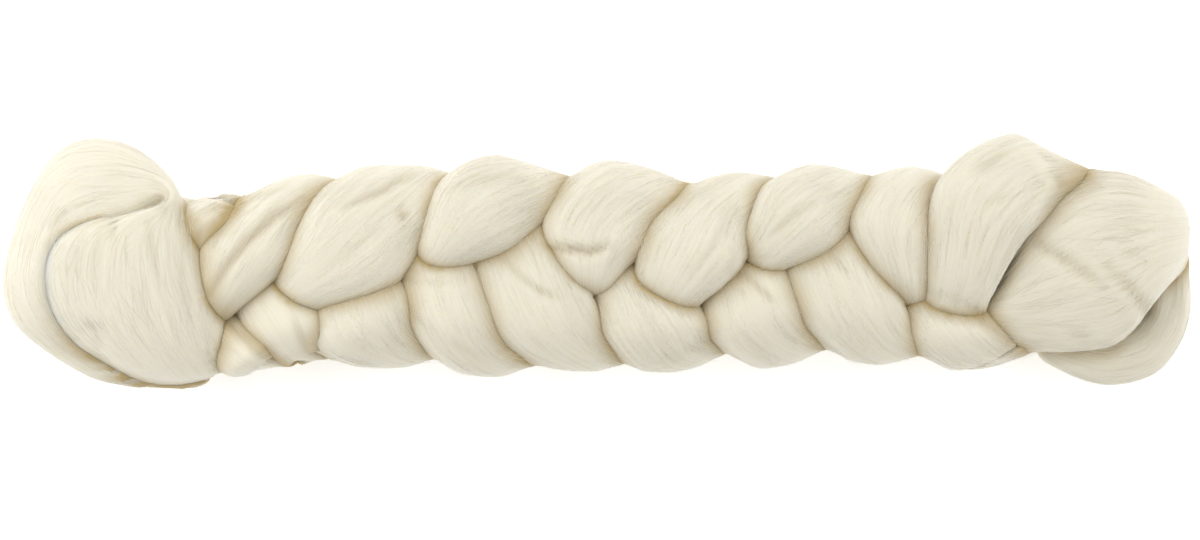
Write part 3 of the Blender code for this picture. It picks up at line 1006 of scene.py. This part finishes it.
@dataclass
class FibreCoat:
    """Single fibres that lie along a run's surface, a few of them standing away.

    Attributes:
        name: the piece's name.
        run: the run that they lie on.
        seed: the first number of their random draws.
        count: how many are tried.
        joints: points along a fibre.
        radius: of a fibre at its middle.
        length: least and greatest length.
        stray: share of fibres whose tips stand away.
        clearance: least section measure where one starts.
        lowest: least height above the table where one starts.
        extra: how many more lie on what faces up, as a share.
        drift: how far they wander sideways, as a share of a turn.
        bow: how far they bend, in the same way.
        kept: share of a fibre that has to lie in sight.
        lift: least and greatest height above the surface.
        bury: how deep the tips of the others sink in.
        flight: shape and scale of the random height of the tips that stand away.
    """

    name: str
    run: Run
    seed: int
    count: int = 4200
    joints: int = 9
    radius: float = 0.04
    length: Pair = (12.0, 34.0)
    stray: float = 0.25
    clearance: float = 1.02
    lowest: float = 0.3
    extra: float = 1.2
    drift: float = 0.020
    bow: float = 0.010
    kept: float = 0.75
    lift: Pair = (-0.01, 0.03)
    bury: float = 0.12
    flight: Pair = (2.0, 0.45)

    def paths(self) -> tuple[Array, Array]:
        """Lay the fibres.

        Returns:
            Points of each fibre, and the run's normals there, as fibres by joints by xyz.
        """
        rng = np.random.default_rng(self.seed)
        run = self.run
        rows, sides = run.along.shape
        open_surface = (run.clear > self.clearance) & (run.rings[..., 2] > self.lowest)
        front = 1.0 + self.extra * (run.normals[..., 2] > -0.2)
        weight = (open_surface * front * run.sweep.wide[:, None]).ravel()
        start = rng.choice(weight.size, self.count, p=weight / weight.sum())
        i0, j0 = np.divmod(start, sides)
        reach = rng.uniform(*self.length, self.count) / run.step
        t = np.linspace(-0.5, 0.5, self.joints)
        i = (i0 + rng.random(self.count))[:, None] + reach[:, None] * t
        drift = rng.normal(0.0, self.drift * sides, self.count)
        bow = rng.normal(0.0, self.bow * sides, self.count)
        j = (j0 + rng.random(self.count))[:, None] + drift[:, None] * t + bow[:, None] * (4 * t * t)
        i = np.clip(i, 0.0, rows - 1.001)
        points, normals = self.read(run.rings, i, j), unit(self.read(run.normals, i, j))
        clear = self.read(run.clear[..., None], i, j)[..., 0]
        keep = (clear > 1.0).mean(axis=1) > self.kept
        lift = rng.uniform(*self.lift, (self.count, 1)) - self.bury * (2 * np.abs(t)) ** 3
        tips = rng.random(self.count) < self.stray
        fly = rng.gamma(*self.flight, self.count) * tips
        lift = lift + fly[:, None] * np.clip(t + 0.1, 0.0, 1.0) ** 1.5 * 2.2
        points = points + normals * lift[..., None]
        points[..., 2] = np.maximum(points[..., 2], self.radius)
        return points[keep], normals[keep]

    @staticmethod
    def read(grid: Array, i: Array, j: Array) -> Array:
        """Values of a grid at places between its points."""
        i0, j0 = np.floor(i).astype(int), np.floor(j).astype(int)
        return between(grid, i0, j0, (i - i0)[..., None], (j - j0)[..., None])

    def build(self, fibre: bpy.types.Material) -> bpy.types.Object:
        """Make the piece, which holds every fibre as its own thin closed tube."""
        points, normals = self.paths()
        ahead = unit(np.gradient(points, axis=1))
        across = unit(np.cross(ahead, normals))
        up = np.cross(across, ahead)
        t = np.linspace(-1.0, 1.0, self.joints)
        taper = self.radius * (1.0 - 0.75 * t * t)
        angles = np.array([0.5, 7 / 6, 11 / 6]) * np.pi
        out = across[:, :, None] * np.cos(angles)[:, None]
        rise = up[:, :, None] * np.sin(angles)[:, None]
        rings = points[:, :, None] + (out + rise) * taper[None, :, None, None]
        many, each = len(points), self.joints * 3
        item = make_object(self.name, rings.reshape(-1, 3), self.faces(many))
        rng = np.random.default_rng(self.seed + 1)
        add_attribute(item, "crease", np.repeat(rng.uniform(0.0, 1.0, many), each))
        item.data.materials.append(fibre)
        return item

    def faces(self, many: int) -> list[tuple]:
        """Faces of many three-sided tubes with capped ends."""
        a = np.arange(3)
        b = (a + 1) % 3
        first = np.arange(self.joints - 1)[:, None] * 3
        quads = np.stack([first + a, first + b, first + 3 + b, first + 3 + a], axis=-1)
        offsets = np.arange(many)[:, None, None] * self.joints * 3
        walls = (quads.reshape(1, -1, 4) + offsets).reshape(-1, 4)
        last = (self.joints - 1) * 3
        caps = (np.array([[[2, 1, 0], [last, last + 1, last + 2]]]) + offsets).reshape(-1, 3)
        return [tuple(f) for f in walls.tolist()] + [tuple(f) for f in caps.tolist()]


@dataclass
class Braid:
    """The whole braid: its runs, the wool packed inside them, and their surface fibres."""

    finish: WoolFinish = field(default_factory=WoolFinish)
    loose: FibreFinish = field(default_factory=FibreFinish)
    route: Route = field(default_factory=Route)

    def runs(self) -> list[Run]:
        """The runs of sliver, and last the wool packed inside them."""
        way = self.route
        upper = way.plait(RUN_A) + way.hidden(RIGHT_TURN) + way.loop(BROAD_END)
        middle = way.plait(RUN_B) + way.loop(RIGHT_CURL)
        loop = way.hidden(LEFT_START, -1.0) + way.loop(LEFT_LOOP, -1.0)
        loop += way.plait(RUN_C) + way.hidden(TUCKED_END)
        return [
            Run("run_upper", upper, 11),
            Run("run_middle", middle, 23),
            Run("run_loop", loop, 37),
            Run("packed_wool", way.hidden(CORE), 53, step=2.5, sides=96),
        ]

    def build(self) -> list[bpy.types.Object]:
        """Make every piece, and return them in the order that they were made."""
        wool = self.finish.material("combed_wool")
        fibre = self.loose.material("loose_fibre")
        runs = self.runs()
        pieces = []
        for run in runs:
            run.meet([other for other in runs if other is not run])
            run.settle()
            pieces.append(run.build(wool))
        for run in runs[:3]:
            coat = FibreCoat(run.name.replace("run", "fibres"), run, run.seed + 100)
            pieces.append(coat.build(fibre))
        return pieces


@dataclass
class Studio:
    """Plain pale floor, plain soft light and the camera straight above.

    Attributes:
        lens: focal length.
        height: of the camera above the floor.
        aim: the point of the floor under the camera.
        glow: how strongly the floor shines by itself.
        sky: strength of the light from all round.
    """

    lens: float = 100.0
    height: float = 1087.0
    aim: Pair = (0.9, -3.1)
    glow: float = 0.40
    sky: float = 0.61

    def floor(self) -> bpy.types.Object:
        """A wide pale floor just under the braid."""
        half = 1500.0
        under = -0.2
        square = ((-half, -half), (half, -half), (half, half), (-half, half))
        corners = np.array([(x, y, under) for x, y in square])
        item = make_object("floor", corners, [(0, 1, 2, 3)])
        tree = Shader("floor_white")
        white = (0.95, 0.95, 0.95, 1.0)
        item.data.materials.append(tree.finish({
            "Base Color": white, "Roughness": 0.9, "Specular IOR Level": 0.1,
            "Emission Color": white, "Emission Strength": self.glow}))
        return item

    def light(self, name: str, place: tuple, size: float, power: float) -> None:
        """A square soft light that looks at the braid's middle.

        Args:
            name: the light's name.
            place: where it hangs.
            size: length of its side.
            power: in watts.
        """
        data = bpy.data.lights.new(name, "AREA")
        data.shape = "SQUARE"
        data.size = size * MM
        data.energy = power
        item = bpy.data.objects.new(name, data)
        item.location = Vector(place) * MM
        item.rotation_euler = (-item.location).to_track_quat("-Z", "Y").to_euler()
        bpy.context.scene.collection.objects.link(item)

    def world(self) -> None:
        """Even white light from all round."""
        world = bpy.data.worlds.new("studio")
        world.use_nodes = True
        background = world.node_tree.nodes["Background"]
        background.inputs["Color"].default_value = (1.0, 1.0, 1.0, 1.0)
        background.inputs["Strength"].default_value = self.sky
        bpy.context.scene.world = world

    def camera(self) -> None:
        """The camera, looking straight down."""
        data = bpy.data.cameras.new("camera")
        data.lens = self.lens
        data.sensor_width = 36.0
        item = bpy.data.objects.new("camera", data)
        item.location = (self.aim[0] * MM, self.aim[1] * MM, self.height * MM)
        bpy.context.scene.collection.objects.link(item)
        bpy.context.scene.camera = item

    def build(self) -> bpy.types.Object:
        """Set up the studio, and return its floor."""
        self.camera()
        self.world()
        self.light("key", (-550.0, 750.0, 750.0), 900.0, 2.75)
        self.light("left", (-440.0, 60.0, 380.0), 300.0, 0.95)
        self.light("fill", (750.0, 500.0, 850.0), 1000.0, 3.2)
        self.light("right", (440.0, 20.0, 340.0), 300.0, 0.35)
        bpy.context.scene.view_settings.view_transform = "Standard"
        return self.floor()


def main() -> None:
    """Build the studio and the braid, attach the braid's pieces to the root body, and hide the imported
    part.
    """
    logging.basicConfig(level=logging.INFO, format="%(name)s: %(message)s")
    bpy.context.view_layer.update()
    Studio().build()
    for piece in Braid().build():
        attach(piece, BODY)
        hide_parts(NODE)
        LOG.info("%s: %d faces", piece.name, len(piece.data.polygons))


if __name__ == "__main__":
    main()
